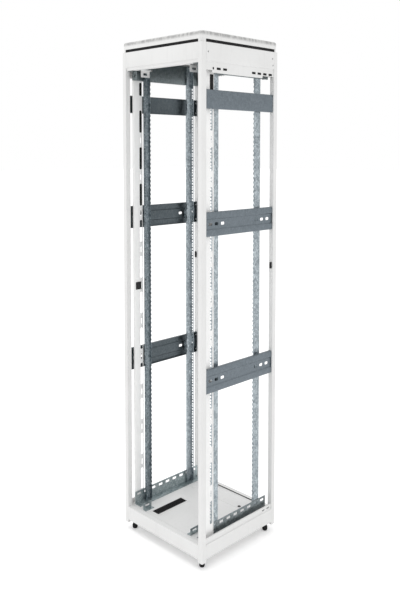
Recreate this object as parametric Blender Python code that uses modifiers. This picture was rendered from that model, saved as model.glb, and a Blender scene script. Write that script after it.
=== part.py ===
"""Network server rack: an open floor-standing frame for 19-inch equipment.

Four corner posts stand between a base frame and a top frame of folded sheet.  Galvanised rails
join the posts along both sides and carry four uprights with square holes, which slide along
the depth of the rack.  A floor with a brush cable entry, a roof over a ventilation gap and four
levelling feet complete it.

Metres, +Z up.  The origin is on the floor under the middle; the front faces -Y, +X is its right.
"""

import math

import bmesh
import bpy
from mathutils import Matrix, Vector

# ---------------------------------------------------------------- driving dimensions

WIDTH = 0.560
DEPTH = 0.530
HEIGHT = 2.480
GAP = 0.0003                    # clearance between neighbouring pieces

RACK_UNIT = 0.04445
RACK_UNITS = 47
HOLE_SPACING = 0.465            # across the bay, between the two columns of square holes
BAY_OPENING = 0.450             # clear width between the uprights
SQUARE_HOLE = 0.0095

PAINTED_SHEET = 0.0015
ZINC_SHEET = 0.0020

POST_WIDE = 0.026
POST_DEEP = 0.028
POST_WALL = 0.0020
POST_ROUNDING = 0.006           # outer corner of a post
POST_EDGE = 0.0025              # its other three corners
POST_BOTTOM = 0.037

ROOF_SKIRT = 0.037              # height of the roof pan
VENT_GAP = 0.013                # open slot between the top frame and the roof pan
ROOF_CORNER = 0.022
ROOF_EDGE = 0.012
DECK_INSET = 0.016
VENT_STRIP_INSET = 0.003
VENT_STRIP_THICK = 0.006
SPACER_INBOARD = (0.0005, 0.0027)
SPACER_START = 0.030            # from a corner to the nearer edge of a spacer tab
SPACER_WIDE = 0.008
SPACER_OVERLAP = 0.006          # how far a tab reaches into the roof pan

FASCIA_SET_BACK = 0.0005
FASCIA_STEP = 0.0045
FASCIA_FACE = 0.075
FASCIA_LIP = 0.015
FASCIA_FLANGE = 0.035           # how far the lower flange of an end fascia reaches inboard
SIDE_FASCIA_FACE = 0.085
SIDE_BAND = 0.048
BAND_FLANGE = 0.007
FASCIA_SLOT = 0.027
FASCIA_SLOT_DROP = (0.034, 0.023)
FASCIA_TOP_FLANGE = 0.030
BAND_NOTCH = 0.010              # height of the notches in the band's lower edge
NEAR_SLOTS = ((0.072, 0.082), (0.099, 0.126), (0.141, 0.168))
FAR_SLOTS = (0.038, 0.079, 0.120, 0.161)

SKIRT_BOTTOM = 0.050
SKIRT_TOP = 0.1195
BASE_BAND_TOP = 0.145
BASE_SLOTS = (0.040, 0.075)
BASE_SLOT = (0.022, 0.008)
THROUGH_BAND = (0.002, 0.010)   # inboard range that cuts through a stepped-back band
END_SKIRT_RETURN = 0.012
SIDE_SKIRT_RETURN = 0.024
FLOOR_LEDGE = 0.038
FLOOR_SEAM = 0.118
BRUSH_X = (-0.130, -0.083)
BRUSH_Y = (-0.211, -0.011)
BRUSH_PART = 0.006              # parting between the two rows of bristles
BRUSH_FRAME = 0.008

PANEL_INSET = 0.031             # inner face of the slotted front panels, from the side
PANEL_FLANGE = 0.0105
PANEL_RETURN = 0.005
PANEL_FRONT = 0.046
PANEL_REAR = 0.1025
PANEL_SLOT = (0.016, 0.112)     # width and height of its long slots
PANEL_SLOT_START = 0.187
PANEL_SLOT_PITCH = 0.185
PANEL_SLOTS = 11

FRONT_KEEPER_THICK = 0.0033
FRONT_KEEPER_DEPTH = (0.054, 0.088)
FRONT_KEEPER_HEIGHT = (1.240, 1.278)
REAR_KEEPER_THICK = 0.005
REAR_KEEPER_INBOARD = (0.007, 0.019)
REAR_KEEPER_HEIGHT = (1.358, 1.390)

UPRIGHT_SET_BACK = 0.104        # mounting face of the front uprights, behind the front
UPRIGHT_REAR_SET_BACK = 0.088
UPRIGHT_DEEP = 0.040
UPRIGHT_LIP = 0.012
UPRIGHT_SIDE = 0.245            # outer face of the uprights, from the middle

SIDE_RAILS = {                  # bottom and top of each level
    "upper": (2.135, 2.221),
    "middle": (1.555, 1.667),
    "lower": (0.828, 0.940),
}
SIDE_RAIL_WEB = 0.006
SIDE_RAIL_EDGE = 0.020
SIDE_RAIL_RIB = 0.004           # how deep the rib is pressed in
RIB_HALF = (0.026, 0.022)       # half its height at the web and at its floor
SIDE_RAIL_SLOT = (0.024, 0.014)
SIDE_RAIL_SLOTS = (0.052, 0.093, 0.134)
TOP_DEPTH_RAIL = (2.296, 2.396)
TOP_RAIL_END = 0.036
TOP_RAIL_FLANGE_END = 0.0125
TAB_WIDE = 0.033                # end tabs of the top depth rails
TAB_TALL = 0.041
TAB_OPENING = (0.008, 0.025)
TAB_OPENING_DROP = (0.029, 0.015)
TAB_TONGUE = 0.008              # where the tab's tongue under the fascia flange starts
BASE_RAIL_TOP = 0.186
BASE_RAIL_END = 0.040
BASE_RAIL_FLANGE = 0.040
BASE_RAIL_SLOT = (0.026, 0.012)
BASE_RAIL_SLOT_DROP = 0.010
BASE_RAIL_SLOT_START = 0.052
BASE_RAIL_SLOT_PITCH = 0.050
BASE_RAIL_SLOTS = 9

BRACKET_DEPTH = (0.020, 0.038)  # range of an upright's brackets behind its mounting face
BRACKET_HALF = 0.030

FOOT_INSET = 0.036
FOOT_RADIUS = 0.0135
FOOT_HEIGHT = 0.028
STEM_RADIUS = 0.006
STEM_TOP = 0.110
CORNER_PLATE = (0.066, 0.069)   # bottom and top of the plates that hold the feet
CORNER_PLATE_REACH = 0.058
NUT_RADIUS = 0.0105
NUT_TALL = 0.008
BORE_RADIUS = STEM_RADIUS + 0.0005

PAINT = (0.80, 0.80, 0.79)
ZINC = (0.36, 0.40, 0.42)
BLACK = (0.012, 0.012, 0.013)

# ---------------------------------------------------------------- derived dimensions

HALF_W = WIDTH / 2
HALF_D = DEPTH / 2
VENT_TOP = HEIGHT - ROOF_SKIRT
FRAME_TOP = VENT_TOP - VENT_GAP
POST_INNER = POST_WIDE + GAP
POST_BACK = POST_DEEP + GAP
END_FASCIA_BOTTOM = FRAME_TOP - FASCIA_FACE - FASCIA_LIP
SIDE_BAND_TOP = FRAME_TOP - SIDE_FASCIA_FACE
SIDE_BAND_BOTTOM = SIDE_BAND_TOP - SIDE_BAND
FLOOR_BOTTOM = SKIRT_TOP + GAP
FLOOR_TOP = FLOOR_BOTTOM + PAINTED_SHEET
RAIL_SIDE = UPRIGHT_SIDE + GAP  # inner face of the depth rails, from the middle
FIRST_UNIT = 0.190              # bottom of the lowest rack unit
BASE_RAIL_BOTTOM = FLOOR_TOP + GAP
FLOOR_X = HALF_W - FASCIA_SET_BACK - FASCIA_STEP - PAINTED_SHEET - 2 * GAP
FLOOR_Y = HALF_D - POST_BACK - GAP

FRONT = "front"
REAR = "rear"
LEFT = "left"
RIGHT = "right"
ENDS = (FRONT, REAR)
SIDES = (LEFT, RIGHT)
SIDE_SIGN = {LEFT: -1, RIGHT: 1}
END_SIGN = {FRONT: -1, REAR: 1}

UP = Vector((0, 0, 1))
INWARD = {
    FRONT: Vector((0, 1, 0)),
    REAR: Vector((0, -1, 0)),
    LEFT: Vector((1, 0, 0)),
    RIGHT: Vector((-1, 0, 0)),
}

# ---------------------------------------------------------------- scene and materials


def clear_scene():
    """Remove every object of the file that is open."""
    for thing in list(bpy.data.objects):
        bpy.data.objects.remove(thing, do_unlink=True)


def new_collection(name):
    """Add a collection to the scene."""
    group = bpy.data.collections.new(name)
    bpy.context.scene.collection.children.link(group)
    return group


def new_material(name, color, roughness, metallic):
    """Make a plain surface of one colour."""
    surface = bpy.data.materials.new(name)
    surface.use_nodes = True
    shader = surface.node_tree.nodes["Principled BSDF"]
    shader.inputs["Base Color"].default_value = (*color, 1)
    shader.inputs["Roughness"].default_value = roughness
    shader.inputs["Metallic"].default_value = metallic
    return surface


clear_scene()
RACK = new_collection("network_server_rack")
CUTTERS = new_collection("cutters")


def painted(name):
    """Light grey powder coat."""
    return new_material(name + "_paint", PAINT, 0.45, 0.0)


def galvanised(name):
    """Zinc-plated sheet."""
    return new_material(name + "_zinc", ZINC, 0.38, 0.9)


def black_plastic(name):
    """Black moulded plastic or bristle."""
    return new_material(name + "_black", BLACK, 0.6, 0.0)


def black_steel(name):
    """Blackened steel."""
    return new_material(name + "_blacked", BLACK, 0.4, 0.8)


# ---------------------------------------------------------------- modelling tools


def add_piece(name, mesh, surface, matrix=None):
    """Make a mesh a piece of the rack."""
    piece = bpy.data.objects.new(name, mesh)
    mesh.materials.clear()
    mesh.materials.append(surface)
    RACK.objects.link(piece)
    if matrix is not None:
        piece.matrix_world = matrix
    return piece


def tidy_mesh(mesh):
    """Weld loose caps and turn all faces outwards."""
    shape = bmesh.new()
    shape.from_mesh(mesh)
    bmesh.ops.remove_doubles(shape, verts=shape.verts, dist=0.00001)
    bmesh.ops.recalc_face_normals(shape, faces=shape.faces)
    shape.to_mesh(mesh)
    shape.free()


def extruded(name, outlines, length):
    """Mesh of a flat outline, given as closed loops, run half its length each way along Z."""
    curve = bpy.data.curves.new(name, "CURVE")
    curve.dimensions = "2D"
    curve.fill_mode = "BOTH"
    curve.extrude = length / 2
    for loop in outlines:
        spline = curve.splines.new("POLY")
        spline.points.add(len(loop) - 1)
        for point, (across, up) in zip(spline.points, loop):
            point.co = (across, up, 0, 1)
        spline.use_cyclic_u = True
    guide = bpy.data.objects.new(name + "_outline", curve)
    CUTTERS.objects.link(guide)
    bpy.context.view_layer.update()
    graph = bpy.context.evaluated_depsgraph_get()
    mesh = bpy.data.meshes.new_from_object(guide.evaluated_get(graph))
    bpy.data.objects.remove(guide, do_unlink=True)
    bpy.data.curves.remove(curve)
    tidy_mesh(mesh)
    mesh.name = name
    return mesh


def sheet_loop(path, thickness):
    """Closed outline of a folded sheet whose outer face follows the path.

    The sheet lies to the left of the path's direction.
    """
    points = [Vector(p) for p in path]
    sides = [(b - a).normalized() for a, b in zip(points, points[1:])]
    normals = [Vector((-d.y, d.x)) for d in sides]
    before = [normals[0]] + normals
    after = normals + [normals[-1]]
    inner = []
    for point, m, n in zip(points, before, after):
        inner.append(point + (m + n) * (thickness / (1 + m.dot(n))))
    return [tuple(p) for p in points] + [tuple(p) for p in reversed(inner)]


def face_frame(face, middle=0.0):
    """Axes of one face of the rack: across = inboard, up, and along = horizontal."""
    inward = INWARD[face]
    along = inward.cross(UP)
    reach = HALF_D if face in ENDS else HALF_W
    start = inward * -reach + along * middle
    axes = Matrix((inward, UP, along)).transposed().to_4x4()
    return Matrix.Translation(start) @ axes


def folded_bar(name, face, path, thickness, length, surface):
    """A folded sheet section on one face of the rack, in (inboard, height) coordinates."""
    mesh = extruded(name, [sheet_loop(path, thickness)], length)
    return add_piece(name, mesh, surface, face_frame(face))


def box_mesh(name, boxes):
    """One mesh of separate boxes, each given by its lowest and highest corner."""
    shape = bmesh.new()
    for low, high in boxes:
        low = Vector(low)
        high = Vector(high)
        size = Matrix.Diagonal((*(high - low), 1))
        middle = Matrix.Translation((low + high) / 2)
        bmesh.ops.create_cube(shape, size=1, matrix=middle @ size)
    mesh = bpy.data.meshes.new(name)
    shape.to_mesh(mesh)
    shape.free()
    return mesh


def side_box(side, inboard, depth, height):
    """World box from ranges measured inboard of a side, behind the front and above the floor."""
    sign = SIDE_SIGN[side]
    xs = sorted(sign * (HALF_W - a) for a in inboard)
    ys = sorted(a - HALF_D for a in depth)
    return (xs[0], ys[0], height[0]), (xs[1], ys[1], height[1])


def add_boolean(piece, tool_mesh, operation):
    """Cut a mesh out of a piece, or join it on, with the tool kept as a hidden guide."""
    tool = bpy.data.objects.new(f"{piece.name}_{operation.lower()}", tool_mesh)
    CUTTERS.objects.link(tool)
    tool.hide_render = True
    tool.display_type = "WIRE"
    step = piece.modifiers.new(operation.title(), "BOOLEAN")
    step.operation = operation
    step.object = tool
    step.solver = "EXACT"


def cut(piece, boxes):
    """Cut world boxes out of a piece."""
    add_boolean(piece, box_mesh(piece.name + "_cut", boxes), "DIFFERENCE")


def join(piece, boxes):
    """Join world boxes, which overlap a piece but not each other, onto it."""
    for box in boxes:
        add_boolean(piece, box_mesh(piece.name + "_join", [box]), "UNION")


def round_hole(piece, center, radius, low, high):
    """Drill an upright round hole through a piece."""
    shape = bmesh.new()
    place = Matrix.Translation((*center, (low + high) / 2))
    bmesh.ops.create_cone(
        shape, cap_ends=True, segments=16, radius1=radius, radius2=radius,
        depth=high - low, matrix=place,
    )
    mesh = bpy.data.meshes.new(piece.name + "_drill")
    shape.to_mesh(mesh)
    shape.free()
    add_boolean(piece, mesh, "DIFFERENCE")


def turned(name, profile, steps, surface, place):
    """A turned piece from its outline, given from the top of its axis down its outer side."""
    mesh = bpy.data.meshes.new(name)
    points = [(radius, 0, height) for radius, height in profile]
    edges = [(i, i + 1) for i in range(len(points) - 1)]
    mesh.from_pydata(points, edges, [])
    piece = add_piece(name, mesh, surface, Matrix.Translation(place))
    screw = piece.modifiers.new("Turn", "SCREW")
    screw.steps = steps
    screw.render_steps = steps
    screw.use_merge_vertices = True
    screw.merge_threshold = 0.00005
    screw.use_smooth_shade = False
    return piece


def repeated(start, pitch, count):
    """Evenly spaced positions."""
    return [start + pitch * i for i in range(count)]


# ---------------------------------------------------------------- corner posts


def rounded_rectangle(low, high, roundings, arc_points=4):
    """Closed outline of a rectangle; its corners run round from the high, high one."""
    corners = (
        (high[0], high[1], 0), (low[0], high[1], 90), (low[0], low[1], 180), (high[0], low[1], 270),
    )
    outline = []
    for (x, y, start), rounding in zip(corners, roundings):
        centre_x = x - math.copysign(rounding, x - (low[0] + high[0]) / 2)
        centre_y = y - math.copysign(rounding, y - (low[1] + high[1]) / 2)
        for i in range(arc_points):
            angle = math.radians(start + 90 * i / (arc_points - 1))
            outline.append((centre_x + rounding * math.cos(angle),
                            centre_y + rounding * math.sin(angle)))
    return outline


def corner_post(end, side):
    """A tube from the base frame up to the roof deck, rounded most at its outer corner."""
    name = f"corner_post_{end}_{side}"
    half = Vector((POST_WIDE / 2, POST_DEEP / 2))
    inner = half - Vector((POST_WALL, POST_WALL))
    turns = ((REAR, RIGHT), (REAR, LEFT), (FRONT, LEFT), (FRONT, RIGHT))
    roundings = [POST_ROUNDING if turn == (end, side) else POST_EDGE for turn in turns]
    outer_loop = rounded_rectangle(-half, half, roundings)
    inner_loop = rounded_rectangle(-inner, inner, [r - POST_WALL for r in roundings])
    top = FRAME_TOP - GAP
    mesh = extruded(name, [outer_loop, inner_loop], top - POST_BOTTOM)
    x = SIDE_SIGN[side] * (HALF_W - half.x)
    y = END_SIGN[end] * (HALF_D - half.y)
    place = Matrix.Translation((x, y, (top + POST_BOTTOM) / 2))
    add_piece(name, mesh, painted(name), place)


# ---------------------------------------------------------------- top frame


def end_fascia(end):
    """Front or rear top rail: a tall face, a stepped-back lip and two inward flanges."""
    name = f"top_rail_{end}"
    face = FASCIA_SET_BACK
    step = face + FASCIA_STEP
    crease = FRAME_TOP - FASCIA_FACE
    path = [
        (POST_BACK - 2 * GAP, FRAME_TOP), (face, FRAME_TOP), (face, crease), (step, crease),
        (step, END_FASCIA_BOTTOM), (FASCIA_FLANGE, END_FASCIA_BOTTOM),
    ]
    folded_bar(name, end, path, PAINTED_SHEET, WIDTH - 2 * POST_INNER, painted(name))


def side_fascia(side):
    """Side top rail: a tall face over a stepped-back band with slots near both ends."""
    name = f"top_rail_{side}"
    face = FASCIA_SET_BACK
    step = face + FASCIA_STEP
    path = [
        (FASCIA_TOP_FLANGE, FRAME_TOP), (face, FRAME_TOP), (face, SIDE_BAND_TOP),
        (step, SIDE_BAND_TOP),
        (step, SIDE_BAND_BOTTOM), (step + BAND_FLANGE, SIDE_BAND_BOTTOM),
    ]
    rail = folded_bar(name, side, path, PAINTED_SHEET, DEPTH - 2 * POST_BACK, painted(name))
    height = [SIDE_BAND_TOP - drop for drop in FASCIA_SLOT_DROP]
    slots = [side_box(side, THROUGH_BAND, depth, height) for depth in NEAR_SLOTS]
    for a in FAR_SLOTS:
        slots.append(side_box(side, THROUGH_BAND, (DEPTH - a - FASCIA_SLOT, DEPTH - a), height))
    cut(rail, slots)
    below = (SIDE_BAND_BOTTOM - BAND_NOTCH, SIDE_BAND_BOTTOM + BAND_NOTCH)
    notches = [
        side_box(side, (0.0, 0.020), (0.020, 0.070), below),
        side_box(side, (0.0, 0.020), (DEPTH - 0.110, DEPTH - 0.020), below),
    ]
    cut(rail, notches)


def roof_deck():
    """The sheet that closes the top frame, lying on the top rails' flanges."""
    name = "roof_deck"
    x = HALF_W - DECK_INSET
    y = HALF_D - DECK_INSET
    low = FRAME_TOP + GAP
    box = ((-x, -y, low), (x, y, low + PAINTED_SHEET))
    add_piece(name, box_mesh(name, [box]), galvanised(name))


def roof_vent_seal():
    """The black mesh strip that runs round inside the ventilation gap."""
    name = "roof_vent_strip"
    outer = Vector((HALF_W - VENT_STRIP_INSET, HALF_D - VENT_STRIP_INSET))
    inner = outer - Vector((VENT_STRIP_THICK, VENT_STRIP_THICK))
    rounding = ROOF_CORNER - VENT_STRIP_INSET
    low = FRAME_TOP + GAP
    high = VENT_TOP - GAP
    outer_loop = rounded_rectangle(-outer, outer, [rounding] * 4)
    inner_loop = rounded_rectangle(-inner, inner, [rounding - VENT_STRIP_THICK] * 4)
    mesh = extruded(name, [outer_loop, inner_loop], high - low)
    add_piece(name, mesh, black_plastic(name), Matrix.Translation((0, 0, (low + high) / 2)))


def roof_cover():
    """A shallow pan with rounded corners, held off the top frame by spacer tabs."""
    name = "roof_cover"
    shape = bmesh.new()
    size = Matrix.Diagonal((WIDTH, DEPTH, ROOF_SKIRT, 1))
    bmesh.ops.create_cube(shape, size=1, matrix=size)
    upright_edges = [e for e in shape.edges if abs(e.verts[0].co.z - e.verts[1].co.z) > GAP]
    bmesh.ops.bevel(
        shape, geom=upright_edges, offset=ROOF_CORNER, segments=4, profile=0.5,
        affect="EDGES",
    )
    top = ROOF_SKIRT / 2
    top_edges = [e for e in shape.edges if all(v.co.z > top - GAP for v in e.verts)]
    bmesh.ops.bevel(
        shape, geom=top_edges, offset=ROOF_EDGE, segments=3, profile=0.5, affect="EDGES",
    )
    bottom = [f for f in shape.faces if f.normal.z < -0.9]
    bmesh.ops.delete(shape, geom=bottom, context="FACES_ONLY")
    mesh = bpy.data.meshes.new(name)
    shape.to_mesh(mesh)
    shape.free()
    place = Matrix.Translation((0, 0, HEIGHT - ROOF_SKIRT / 2))
    cover = add_piece(name, mesh, painted(name), place)
    wall = cover.modifiers.new("Sheet", "SOLIDIFY")
    wall.thickness = ZINC_SHEET
    wall.offset = -1
    wall.use_even_offset = True
    join(cover, roof_spacers())


def roof_spacers():
    """Two small tabs beside each corner, between the roof pan and the top frame."""
    height = (FRAME_TOP + GAP, VENT_TOP + SPACER_OVERLAP)
    outer, inner = SPACER_INBOARD
    tabs = []
    for reach in (HALF_W, HALF_D):
        for start in (-reach + SPACER_START, reach - SPACER_START - SPACER_WIDE):
            end = start + SPACER_WIDE
            if reach == HALF_D:
                depth = (start + HALF_D, end + HALF_D)
                tabs += [side_box(side, SPACER_INBOARD, depth, height) for side in SIDES]
            else:
                for low_y, high_y in ((outer - HALF_D, inner - HALF_D),
                                      (HALF_D - inner, HALF_D - outer)):
                    tabs.append(((start, low_y, height[0]), (end, high_y, height[1])))
    return tabs


# ---------------------------------------------------------------- base frame


def foot_places():
    """Name and centre of each foot."""
    places = []
    for end in ENDS:
        for side in SIDES:
            x = SIDE_SIGN[side] * (HALF_W - FOOT_INSET)
            y = END_SIGN[end] * (HALF_D - FOOT_INSET)
            places.append((end, side, x, y))
    return places


def end_skirt(end):
    """Front or rear base skirt: a face, a floor ledge, and corner plates that hold the feet."""
    name = f"base_skirt_{end}"
    face = FASCIA_SET_BACK
    path = [
        (FLOOR_LEDGE, SKIRT_TOP), (face, SKIRT_TOP), (face, SKIRT_BOTTOM),
        (END_SKIRT_RETURN, SKIRT_BOTTOM),
    ]
    skirt = folded_bar(name, end, path, PAINTED_SHEET, WIDTH - 2 * POST_INNER, painted(name))
    plate = CORNER_PLATE
    inside = face + PAINTED_SHEET / 3
    depth = (inside, CORNER_PLATE_REACH)
    if end == REAR:
        depth = (DEPTH - CORNER_PLATE_REACH, DEPTH - inside)
    across = (POST_INNER + 2 * GAP, CORNER_PLATE_REACH)
    join(skirt, [side_box(side, across, depth, plate) for side in SIDES])
    for foot_end, _, x, y in foot_places():
        if foot_end == end:
            round_hole(skirt, (x, y), BORE_RADIUS, plate[0] - 0.001, plate[1] + 0.001)


def side_skirt(side):
    """Side base skirt: a face under a stepped-back band with two slots near its rear end."""
    name = f"base_skirt_{side}"
    face = FASCIA_SET_BACK
    step = face + FASCIA_STEP
    path = [
        (step + BAND_FLANGE, BASE_BAND_TOP), (step, BASE_BAND_TOP), (step, SKIRT_TOP),
        (face, SKIRT_TOP), (face, SKIRT_BOTTOM), (SIDE_SKIRT_RETURN, SKIRT_BOTTOM),
    ]
    skirt = folded_bar(name, side, path, PAINTED_SHEET, DEPTH - 2 * POST_BACK, painted(name))
    middle = (SKIRT_TOP + BASE_BAND_TOP) / 2
    wide, tall = BASE_SLOT
    height = (middle - tall / 2, middle + tall / 2)
    slots = []
    for a in BASE_SLOTS:
        slots.append(side_box(side, THROUGH_BAND, (DEPTH - a - wide, DEPTH - a), height))
    cut(skirt, slots)


def floor_panels():
    """Two sheets on the ledges; the front one has the brush entry cut out of it."""
    name = "floor_panel_front"
    low = (-FLOOR_X, -FLOOR_Y, FLOOR_BOTTOM)
    front = box_mesh(name, [(low, (FLOOR_X, FLOOR_SEAM - GAP * 2, FLOOR_TOP))])
    panel = add_piece(name, front, painted(name))
    opening = (
        (BRUSH_X[0], BRUSH_Y[0], FLOOR_BOTTOM - 0.01), (BRUSH_X[1], BRUSH_Y[1], FLOOR_TOP + 0.01),
    )
    cut(panel, [opening])
    name = "floor_panel_rear"
    low = (-FLOOR_X, FLOOR_SEAM + GAP * 2, FLOOR_BOTTOM)
    rear = box_mesh(name, [(low, (FLOOR_X, FLOOR_Y, FLOOR_TOP))])
    add_piece(name, rear, painted(name))


def brush_entry():
    """A frame round the floor opening and the two facing rows of bristles in it."""
    name = "brush_frame"
    low = Vector((BRUSH_X[0], BRUSH_Y[0]))
    high = Vector((BRUSH_X[1], BRUSH_Y[1]))
    margin = Vector((BRUSH_FRAME, BRUSH_FRAME))
    outer = [tuple(low - margin), (high.x + margin.x, low.y - margin.y),
             tuple(high + margin), (low.x - margin.x, high.y + margin.y)]
    inner = [tuple(low), (high.x, low.y), tuple(high), (low.x, high.y)]
    bottom = FLOOR_TOP + GAP
    mesh = extruded(name, [outer, inner], PAINTED_SHEET)
    place = Matrix.Translation((0, 0, bottom + PAINTED_SHEET / 2))
    add_piece(name, mesh, painted(name), place)
    middle = (low.x + high.x) / 2
    rows = {
        "brush_row_left": (low.x + GAP, middle - BRUSH_PART / 2),
        "brush_row_right": (middle + BRUSH_PART / 2, high.x - GAP),
    }
    for row, (x_low, x_high) in rows.items():
        box = ((x_low, low.y + GAP, FLOOR_BOTTOM), (x_high, high.y - GAP, bottom + 0.001))
        add_piece(row, box_mesh(row, [box]), black_plastic(row))


def levelling_feet():
    """A pad and a threaded stem for each corner, with a lock nut on the corner plate."""
    for end, side, x, y in foot_places():
        name = f"foot_pad_{end}_{side}"
        profile = [
            (0, FOOT_HEIGHT), (0.0080, FOOT_HEIGHT), (0.0108, FOOT_HEIGHT - 0.0025),
            (0.0128, FOOT_HEIGHT - 0.007), (FOOT_RADIUS, FOOT_HEIGHT - 0.012),
            (FOOT_RADIUS, 0.009), (0.0122, 0.003), (0.0095, 0), (0, 0),
        ]
        turned(name, profile, 20, black_plastic(name), (x, y, 0))
        name = f"foot_stem_{end}_{side}"
        low = FOOT_HEIGHT + GAP
        profile = [
            (0, STEM_TOP), (STEM_RADIUS - 0.001, STEM_TOP), (STEM_RADIUS, STEM_TOP - 0.001),
            (STEM_RADIUS, low), (0, low),
        ]
        turned(name, profile, 16, black_steel(name), (x, y, 0))
        lock_nut(f"foot_nut_{end}_{side}", x, y)


def lock_nut(name, x, y):
    """A hexagon nut round the stem, on top of the corner plate."""
    low = CORNER_PLATE[1] + GAP
    high = low + NUT_TALL
    hexagon = [(NUT_RADIUS * math.sin(math.radians(a)), NUT_RADIUS * math.cos(math.radians(a)))
               for a in range(0, 360, 60)]
    circle = [(BORE_RADIUS * math.cos(math.radians(a)), BORE_RADIUS * math.sin(math.radians(a)))
              for a in range(0, 360, 24)]
    mesh = extruded(name, [hexagon, circle], high - low)
    add_piece(name, mesh, galvanised(name), Matrix.Translation((x, y, (low + high) / 2)))


# ---------------------------------------------------------------- side structure


def side_rail(level, side):
    """A channel between two posts with closed ends; two levels have a slotted rib."""
    name = f"side_rail_{level}_{side}"
    bottom, top = SIDE_RAILS[level]
    web = SIDE_RAIL_WEB
    edge = SIDE_RAIL_EDGE
    path = [(edge, top), (web, top)]
    if level != "upper":
        middle = (bottom + top) / 2
        rib = web + SIDE_RAIL_RIB
        at_web, at_rib = RIB_HALF
        path += [
            (web, middle + at_web), (rib, middle + at_rib),
            (rib, middle - at_rib), (web, middle - at_web),
        ]
    path += [(web, bottom), (edge, bottom)]
    surface = galvanised(name)
    rail = folded_bar(name, side, path, ZINC_SHEET, DEPTH - 2 * POST_BACK, surface)
    across = (web + ZINC_SHEET / 2, edge)
    height = (bottom + ZINC_SHEET / 2, top - ZINC_SHEET / 2)
    rear_end = DEPTH - POST_BACK
    ends = ((POST_BACK, POST_BACK + ZINC_SHEET), (rear_end - ZINC_SHEET, rear_end))
    join(rail, [side_box(side, across, depth, height) for depth in ends])
    if level != "upper":
        wide, tall = SIDE_RAIL_SLOT
        height = (middle - tall / 2, middle + tall / 2)
        through = (web, rib + 2 * ZINC_SHEET)
        slots = []
        for a in SIDE_RAIL_SLOTS:
            slots.append(side_box(side, through, (a, a + wide), height))
            slots.append(side_box(side, through, (DEPTH - a - wide, DEPTH - a), height))
        cut(rail, slots)


def top_depth_rail(side):
    """An angle under the roof that the uprights' heads slide along, with slotted end tabs."""
    name = f"top_depth_rail_{side}"
    inner = HALF_W - RAIL_SIDE
    low, high = TOP_DEPTH_RAIL
    path = [(inner, low), (inner, high), (TOP_RAIL_FLANGE_END, high)]
    rail = folded_bar(name, side, path, ZINC_SHEET, DEPTH - 2 * TOP_RAIL_END, galvanised(name))
    hang = END_FASCIA_BOTTOM - GAP
    across = (inner - ZINC_SHEET / 2, inner + TAB_WIDE)
    window = (inner + TAB_OPENING[0], inner + TAB_OPENING[1])
    window_height = [hang - drop for drop in TAB_OPENING_DROP]
    start = TOP_RAIL_END
    tab = (start, start + ZINC_SHEET)
    tongue = (TAB_TONGUE, start + ZINC_SHEET * 0.75)
    cutter = (start - ZINC_SHEET, start + 2 * ZINC_SHEET)
    pieces = []
    openings = []
    for end in ENDS:
        tab_depth, tongue_depth, cutter_depth = [
            depth if end == FRONT else (DEPTH - depth[1], DEPTH - depth[0])
            for depth in (tab, tongue, cutter)
        ]
        pieces.append(side_box(side, across, tab_depth, (hang - TAB_TALL, hang)))
        pieces.append(side_box(side, across, tongue_depth, (hang - ZINC_SHEET, hang)))
        openings.append(side_box(side, window, cutter_depth, window_height))
    join(rail, pieces)
    cut(rail, openings)


def base_depth_rail(side):
    """An angle on the floor: the uprights' feet slide along its slotted outer leg."""
    name = f"base_depth_rail_{side}"
    inner = HALF_W - RAIL_SIDE
    outer = inner - ZINC_SHEET
    path = [
        (outer, BASE_RAIL_TOP), (outer, BASE_RAIL_BOTTOM), (inner + BASE_RAIL_FLANGE, BASE_RAIL_BOTTOM),
    ]
    length = DEPTH - 2 * BASE_RAIL_END
    rail = folded_bar(name, side, path, ZINC_SHEET, length, galvanised(name))
    wide, tall = BASE_RAIL_SLOT
    top = BASE_RAIL_TOP - BASE_RAIL_SLOT_DROP
    through = (outer - ZINC_SHEET, inner + ZINC_SHEET)
    slots = []
    for a in repeated(BASE_RAIL_SLOT_START, BASE_RAIL_SLOT_PITCH, BASE_RAIL_SLOTS):
        slots.append(side_box(side, through, (a, a + wide), (top - tall, top)))
    cut(rail, slots)


def slotted_panel(side):
    """A tall painted channel behind a front post, with a row of long slots at its rear edge."""
    name = f"slotted_panel_front_{side}"
    hand = SIDE_SIGN[side]
    web = hand * (HALF_W - PANEL_INSET)
    front = PANEL_FRONT - HALF_D
    rear = PANEL_REAR - HALF_D
    path = [
        (web + hand * PANEL_FLANGE, front), (web, front),
        (web, rear), (web + hand * PANEL_RETURN, rear),
    ]
    if hand > 0:
        path.reverse()
    low = FLOOR_TOP + GAP
    high = TOP_DEPTH_RAIL[1] - ZINC_SHEET - GAP
    mesh = extruded(name, [sheet_loop(path, PAINTED_SHEET)], high - low)
    panel = add_piece(name, mesh, painted(name), Matrix.Translation((0, 0, (low + high) / 2)))
    wide, tall = PANEL_SLOT
    through = (PANEL_INSET - 0.003, PANEL_INSET + 0.002)
    depth = (PANEL_REAR - 0.004 - wide, PANEL_REAR - 0.004)
    slots = []
    for a in repeated(PANEL_SLOT_START, PANEL_SLOT_PITCH, PANEL_SLOTS):
        slots.append(side_box(side, through, depth, (a, a + tall)))
    cut(panel, slots)


def latch_keepers():
    """Black keepers that door latches would close on."""
    for side in SIDES:
        name = f"latch_keeper_front_{side}"
        inboard = (PANEL_INSET + GAP, PANEL_INSET + FRONT_KEEPER_THICK)
        box = side_box(side, inboard, FRONT_KEEPER_DEPTH, FRONT_KEEPER_HEIGHT)
        add_piece(name, box_mesh(name, [box]), black_plastic(name))
        name = f"latch_keeper_rear_{side}"
        face = DEPTH - POST_BACK
        depth = (face - REAR_KEEPER_THICK, face)
        box = side_box(side, REAR_KEEPER_INBOARD, depth, REAR_KEEPER_HEIGHT)
        add_piece(name, box_mesh(name, [box]), black_plastic(name))


# ---------------------------------------------------------------- sliding uprights


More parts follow.
